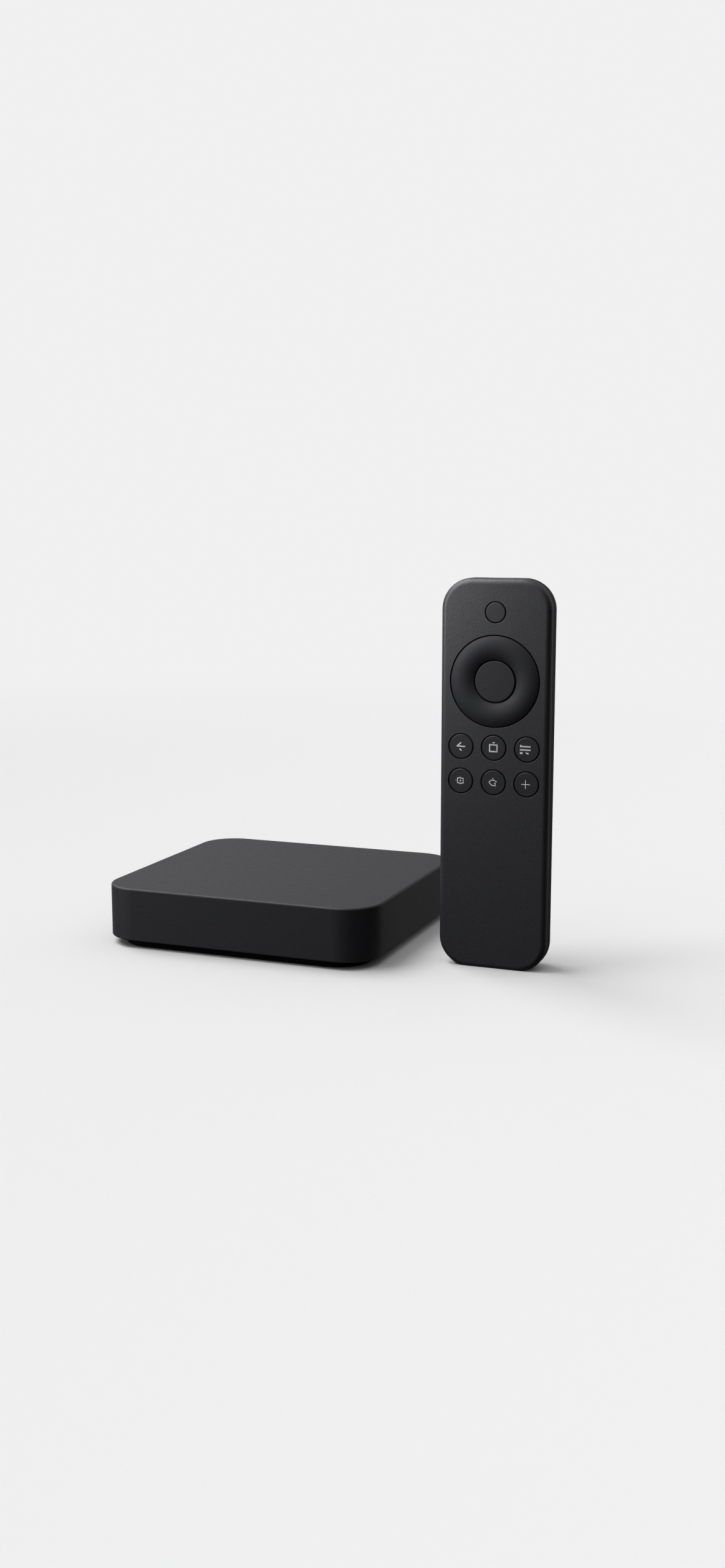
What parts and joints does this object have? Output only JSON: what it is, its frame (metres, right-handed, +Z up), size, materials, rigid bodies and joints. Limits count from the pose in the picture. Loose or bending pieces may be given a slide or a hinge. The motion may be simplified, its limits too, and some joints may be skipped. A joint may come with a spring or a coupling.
{
  "type": "streaming media player",
  "caption": "Low rounded-square set-top streaming player on a recessed foot, with a slim upright remote that has a power key, a direction ring and round keys.",
  "frame": {"origin": "centre of the player's foot on the table", "axes": "+X to the player's right as its front is looked at, -Y out of the front, +Z up"},
  "size_m": [0.1684, 0.102, 0.14],
  "materials": {
    "housing_plastic": "fine matt moulded grain",
    "base_plastic": "matt moulded",
    "foot_rubber": "matt",
    "remote_front_plastic": "fine matt moulded grain",
    "remote_back_plastic": "fine matt moulded grain",
    "door_plastic": "fine matt moulded grain",
    "key_plastic": "satin, with light printed marks",
    "key_print": "printed marks, light grey",
    "ring_plastic": "satin",
    "carrier_plastic": "plain",
    "window_plastic": "dark infrared filter",
    "board_laminate": "solder mask",
    "remote_board_laminate": "solder mask",
    "chip_resin": "moulded epoxy",
    "coil_ferrite": "pressed ferrite",
    "can_aluminium": "drawn",
    "sink_aluminium": "extruded",
    "pin_plastic": "nylon",
    "pad_silicone": "soft gap filler",
    "shield_steel": "tin-plated",
    "screw_steel": "zinc-plated",
    "small_screw_steel": "zinc-plated",
    "antenna_brass": "stamped",
    "socket_steel": "nickel-plated",
    "lan_plastic": "moulded",
    "tongue_plastic": "moulded socket tongues",
    "contact_gold": "gold-plated socket contacts",
    "eye_resin": "dark epoxy",
    "mat_silicone": "soft",
    "dome_steel": "spring steel",
    "lamp_resin": "clear epoxy",
    "cell_wrap": "printed sleeve",
    "contact_steel": "nickel-plated",
    "spring_steel": "nickel-plated"
  },
  "bodies": {
    "player": {"top_housing": "housing_plastic", "base_plate": "base_plastic", "foot_ring": "foot_rubber", "base_screws": "screw_steel", "main_board": "board_laminate", "board_screws": "small_screw_steel", "soc_chip": "chip_resin", "thermal_pad": "pad_silicone", "heat_sink": "sink_aluminium", "sink_pins": "pin_plastic", "memory_chips": "chip_resin", "storage_chip": "chip_resin", "power_coils": "coil_ferrite", "capacitors": "can_aluminium", "radio_chip": "chip_resin", "radio_shield": "shield_steel", "antennas": "antenna_brass", "infrared_eye": "eye_resin", "hdmi_port": "socket_steel", "usb_port": "socket_steel", "power_port": "socket_steel", "lan_port": "lan_plastic"},
    "remote": {"remote_front_shell": "remote_front_plastic", "remote_back_shell": "remote_back_plastic", "battery_left": "cell_wrap", "battery_right": "cell_wrap", "battery_contacts": "contact_steel", "battery_springs": "spring_steel", "remote_board": "remote_board_laminate", "keypad_mat": "mat_silicone", "dome_switches": "dome_steel", "remote_screws": "small_screw_steel", "remote_chip": "chip_resin", "infrared_lamp": "lamp_resin", "infrared_window": "window_plastic"},
    "battery_door": {"battery_door": "door_plastic"},
    "ring_carrier": {"ring_carrier": "carrier_plastic"},
    "direction_ring": {"direction_ring": "ring_plastic"},
    "power_button": {"power_button": "key_plastic"},
    "back_button": {"back_button": "key_plastic"},
    "home_button": {"home_button": "key_plastic"},
    "menu_button": {"menu_button": "key_plastic"},
    "settings_button": {"settings_button": "key_plastic"},
    "view_button": {"view_button": "key_plastic"},
    "plus_button": {"plus_button": "key_plastic"},
    "ok_button": {"ok_button": "key_plastic"}
  },
  "joints": [
    {"name": "remote_lift", "type": "slide", "parent": "player", "child": "remote", "axis": [0, 0, 1], "range_m": [0, 0.15]},
    {"name": "power_button_press", "type": "slide", "parent": "remote", "child": "power_button", "axis": [0, 1, 0], "range_m": [0, 0.0006], "stiffness_N_per_m": 400, "springref_m": -0.0015},
    {"name": "back_button_press", "type": "slide", "parent": "remote", "child": "back_button", "axis": [0, 1, 0], "range_m": [0, 0.0006], "stiffness_N_per_m": 400, "springref_m": -0.0015},
    {"name": "home_button_press", "type": "slide", "parent": "remote", "child": "home_button", "axis": [0, 1, 0], "range_m": [0, 0.0006], "stiffness_N_per_m": 400, "springref_m": -0.0015},
    {"name": "menu_button_press", "type": "slide", "parent": "remote", "child": "menu_button", "axis": [0, 1, 0], "range_m": [0, 0.0006], "stiffness_N_per_m": 400, "springref_m": -0.0015},
    {"name": "settings_button_press", "type": "slide", "parent": "remote", "child": "settings_button", "axis": [0, 1, 0], "range_m": [0, 0.0006], "stiffness_N_per_m": 400, "springref_m": -0.0015},
    {"name": "view_button_press", "type": "slide", "parent": "remote", "child": "view_button", "axis": [0, 1, 0], "range_m": [0, 0.0006], "stiffness_N_per_m": 400, "springref_m": -0.0015},
    {"name": "plus_button_press", "type": "slide", "parent": "remote", "child": "plus_button", "axis": [0, 1, 0], "range_m": [0, 0.0006], "stiffness_N_per_m": 400, "springref_m": -0.0015},
    {"name": "ok_button_press", "type": "slide", "parent": "remote", "child": "ok_button", "axis": [0, 1, 0], "range_m": [0, 0.0006], "stiffness_N_per_m": 400, "springref_m": -0.0015},
    {"name": "ring_sideways", "type": "hinge", "parent": "remote", "child": "ring_carrier", "pos_m": [0.0934, -0.0251, 0.104], "axis": [0, 0, 1], "range_deg": [-2, 2], "stiffness_Nm_per_rad": 2},
    {"name": "ring_up_down", "type": "hinge", "parent": "ring_carrier", "child": "direction_ring", "pos_m": [0.0934, -0.0251, 0.104], "axis": [1, 0, 0], "range_deg": [-2, 2], "stiffness_Nm_per_rad": 2},
    {"name": "door_hinge", "type": "hinge", "parent": "remote", "child": "battery_door", "pos_m": [0.0934, -0.01385, 0.0094], "axis": [-1, 0, 0], "range_deg": [0, 75]}
  ]
}
